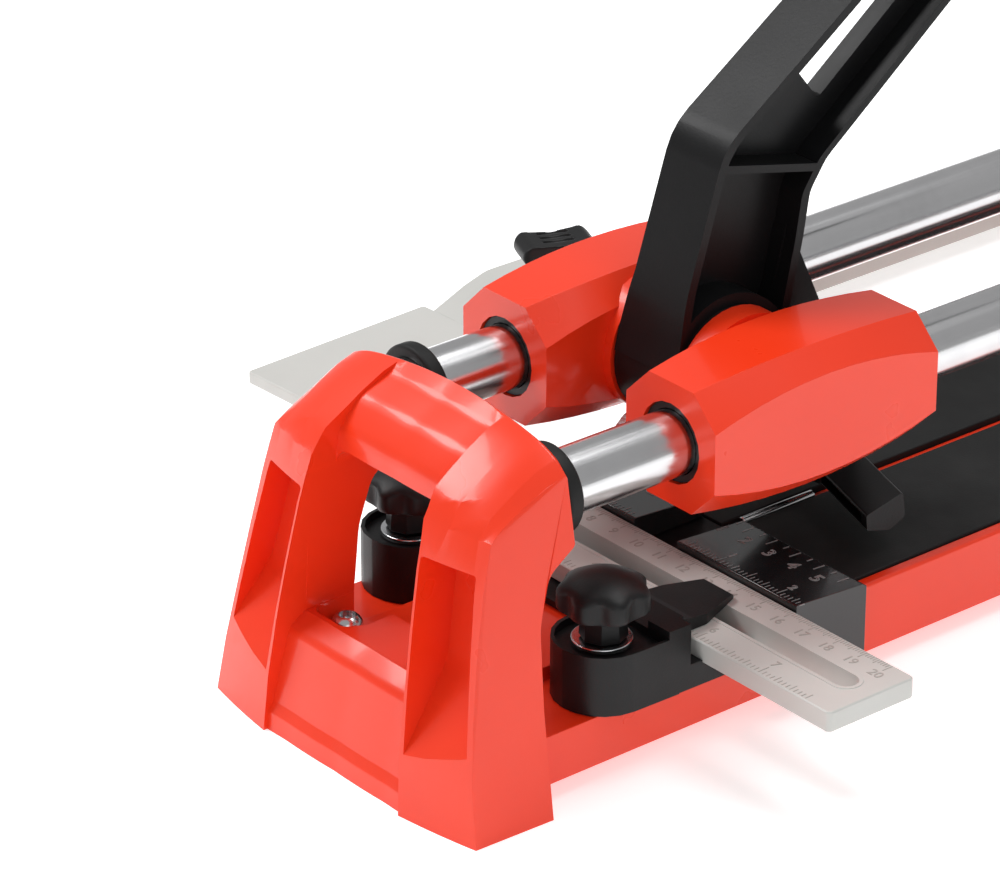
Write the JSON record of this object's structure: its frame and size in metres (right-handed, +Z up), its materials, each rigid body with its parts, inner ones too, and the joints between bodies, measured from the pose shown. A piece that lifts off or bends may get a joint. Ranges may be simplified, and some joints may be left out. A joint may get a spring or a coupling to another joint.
{
  "type": "tile cutter",
  "caption": "Manual tile cutter: twin round rails on a flat base, sliding carriage with a lever, scoring wheel and breaker, adjustable fence and swing-out side support.",
  "frame": {"origin": "on the bench, midway along the machine over both feet and midway over its whole width", "axes": "+Z up; Y along the rails with the fence end at -Y; +X to the right seen from the fence end, so the side support lies at -X; the middle between the rails is at x = 38.9 mm"},
  "size_m": [0.2943, 0.8098, 0.3289],
  "materials": {
    "red_enamel": "glossy red enamel",
    "black_rubber": "matt black rubber",
    "rail_chrome": "ground and plated",
    "bright_zinc": "zinc plated",
    "turned_steel": "turned",
    "black_powder_coat": "fine-textured black powder coat",
    "black_plastic": "moulded, lightly textured",
    "light_grey_enamel": "satin light grey",
    "bar_enamel": "satin grey-beige",
    "carbide": "ground edge"
  },
  "bodies": {
    "base": {"base_channel": "red_enamel", "pad_right": "black_rubber", "pad_left": "black_rubber", "breaking_rod": "rail_chrome", "front_foot": "red_enamel", "rear_foot": "red_enamel", "front_foot_screw_right": "bright_zinc", "front_foot_screw_left": "bright_zinc", "rear_foot_screw_right": "bright_zinc", "rear_foot_screw_left": "bright_zinc", "rail_right": "rail_chrome", "rail_left": "rail_chrome", "ring_front_right": "black_rubber", "ring_front_left": "black_rubber", "ring_rear_right": "black_rubber", "ring_rear_left": "black_rubber", "fence_seat": "black_powder_coat", "scale_block_right": "black_plastic", "scale_block_left": "black_plastic", "bracket_right": "black_plastic", "bracket_left": "black_plastic", "washer_right": "bright_zinc", "washer_left": "bright_zinc", "link_pin_base_front": "bright_zinc", "link_pin_base_rear": "bright_zinc"},
    "carriage": {"barrel_right": "red_enamel", "barrel_left": "red_enamel", "bush_front_right": "black_plastic", "bush_front_left": "black_plastic", "bush_rear_right": "black_plastic", "bush_rear_left": "black_plastic", "pivot_axle": "turned_steel"},
    "lever_arm": {"lever": "black_powder_coat", "grip": "black_rubber", "breaker_foot": "black_powder_coat", "breaker_screw": "bright_zinc", "wheel_holder": "turned_steel", "wheel_pin": "turned_steel"},
    "wheel": {"cutting_wheel": "carbide"},
    "ruler_body": {"ruler": "light_grey_enamel"},
    "clamp_knob_right": {"knob_right": "black_plastic"},
    "clamp_knob_left": {"knob_left": "black_plastic"},
    "front_link": {"link_front": "bright_zinc"},
    "rear_link": {"link_rear": "bright_zinc"},
    "bar": {"side_bar": "bar_enamel", "link_pin_bar_front": "bright_zinc", "link_pin_bar_rear": "bright_zinc"},
    "plate": {"support_plate": "light_grey_enamel", "plate_washer": "bright_zinc"},
    "wing": {"wing_knob": "black_plastic"}
  },
  "joints": [
    {"name": "carriage_slide", "type": "slide", "parent": "base", "child": "carriage", "axis": [0, 1, 0], "range_m": [-0.022, 0.56]},
    {"name": "lever_lift", "type": "hinge", "parent": "carriage", "child": "lever_arm", "pos_m": [0.0389, -0.2704, 0.0867], "axis": [1, 0, 0], "range_deg": [-3, 28]},
    {"name": "wheel_spin", "type": "hinge", "parent": "lever_arm", "child": "wheel", "pos_m": [0.0389, -0.30104, 0.06099], "axis": [1, 0, 0], "continuous": true},
    {"name": "ruler_shift", "type": "slide", "parent": "base", "child": "ruler_body", "axis": [1, 0, 0], "range_m": [-0.045, 0.045]},
    {"name": "knob_right_turn", "type": "hinge", "parent": "base", "child": "clamp_knob_right", "pos_m": [0.0811, -0.342, 0.05], "axis": [0, 0, 1], "range_deg": [-180, 180]},
    {"name": "knob_left_turn", "type": "hinge", "parent": "base", "child": "clamp_knob_left", "pos_m": [-0.0033, -0.342, 0.05], "axis": [0, 0, 1], "range_deg": [-180, 180]},
    {"name": "support_swing", "type": "hinge", "parent": "base", "child": "front_link", "pos_m": [-0.0036, -0.165, 0.0036], "axis": [0, 0, 1], "range_deg": [-55, 0]},
    {"name": "rear_link_swing", "type": "hinge", "parent": "base", "child": "rear_link", "pos_m": [-0.0036, 0.165, 0.0036], "axis": [0, 0, 1], "range_deg": [-55, 0]},
    {"name": "bar_keep_parallel", "type": "hinge", "parent": "front_link", "child": "bar", "pos_m": [-0.1176, -0.165, 0.0036], "axis": [0, 0, 1], "range_deg": [0, 55]},
    {"name": "plate_turn", "type": "hinge", "parent": "bar", "child": "plate", "pos_m": [-0.1231, -0.187, 0.02], "axis": [0, 0, 1], "range_deg": [-90, 4]},
    {"name": "wing_turn", "type": "hinge", "parent": "bar", "child": "wing", "pos_m": [-0.1231, -0.187, 0.03], "axis": [0, 0, 1], "range_deg": [-90, 90]}
  ],
  "couplings": [
    {"joint": "rear_link_swing", "follows": "support_swing", "ratio": 1},
    {"joint": "bar_keep_parallel", "follows": "support_swing", "ratio": -1}
  ]
}
